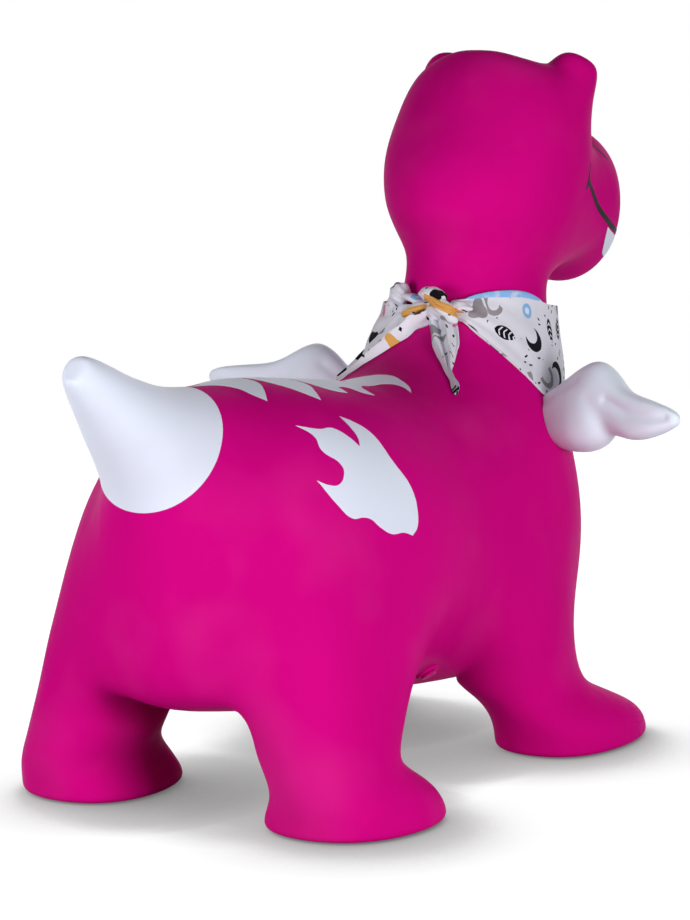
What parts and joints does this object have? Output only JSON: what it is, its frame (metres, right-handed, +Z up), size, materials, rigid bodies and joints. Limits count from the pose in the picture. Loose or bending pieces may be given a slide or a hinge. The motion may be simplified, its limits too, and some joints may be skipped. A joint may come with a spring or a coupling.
{
  "type": "bouncy ride on animal",
  "caption": "Air-filled soft vinyl dinosaur on stubby legs that a child sits on and bounces, holding two wing grips, with an inflation valve and a tied neckerchief.",
  "frame": {"origin": "on the ground under the middle of the animal's outer box", "axes": "+Z up, the animal looks along -Y, its left side is +X"},
  "size_m": [0.4191, 0.6675, 0.524],
  "materials": {
    "vinyl_magenta": "satin soft vinyl",
    "vinyl_white": "satin soft vinyl",
    "plug_vinyl": "satin",
    "paint_white": "satin paint",
    "paint_black": "satin paint",
    "printed_cotton": "woven",
    "blue_cotton": "woven"
  },
  "bodies": {
    "animal": {"body_skin": "vinyl_magenta", "tail_paint": "paint_white", "back_flame_rear": "paint_white", "back_flame_middle": "paint_white", "back_flame_front": "paint_white", "side_patch_left": "paint_white", "side_patch_right": "paint_white", "mouth_line": "paint_black", "tooth_left": "paint_white", "tooth_right": "paint_white", "nostril_left": "paint_black", "nostril_right": "paint_black", "eye_white_left": "paint_white", "eye_white_right": "paint_white", "eye_pupil_left": "paint_black", "eye_pupil_right": "paint_black", "wing_handle_left": "vinyl_white", "wing_handle_right": "vinyl_white", "valve_seat": "vinyl_magenta", "scarf_wrap": "printed_cotton", "scarf_hem": "blue_cotton", "scarf_knot": "printed_cotton", "scarf_tail_left": "printed_cotton", "scarf_tail_right": "printed_cotton"},
    "plug": {"valve_plug": "plug_vinyl"}
  },
  "joints": [
    {"name": "valve_plug_pull", "type": "slide", "parent": "animal", "child": "plug", "axis": [-0.5991, 0.0645, -0.798], "range_m": [0, 0.012]}
  ]
}
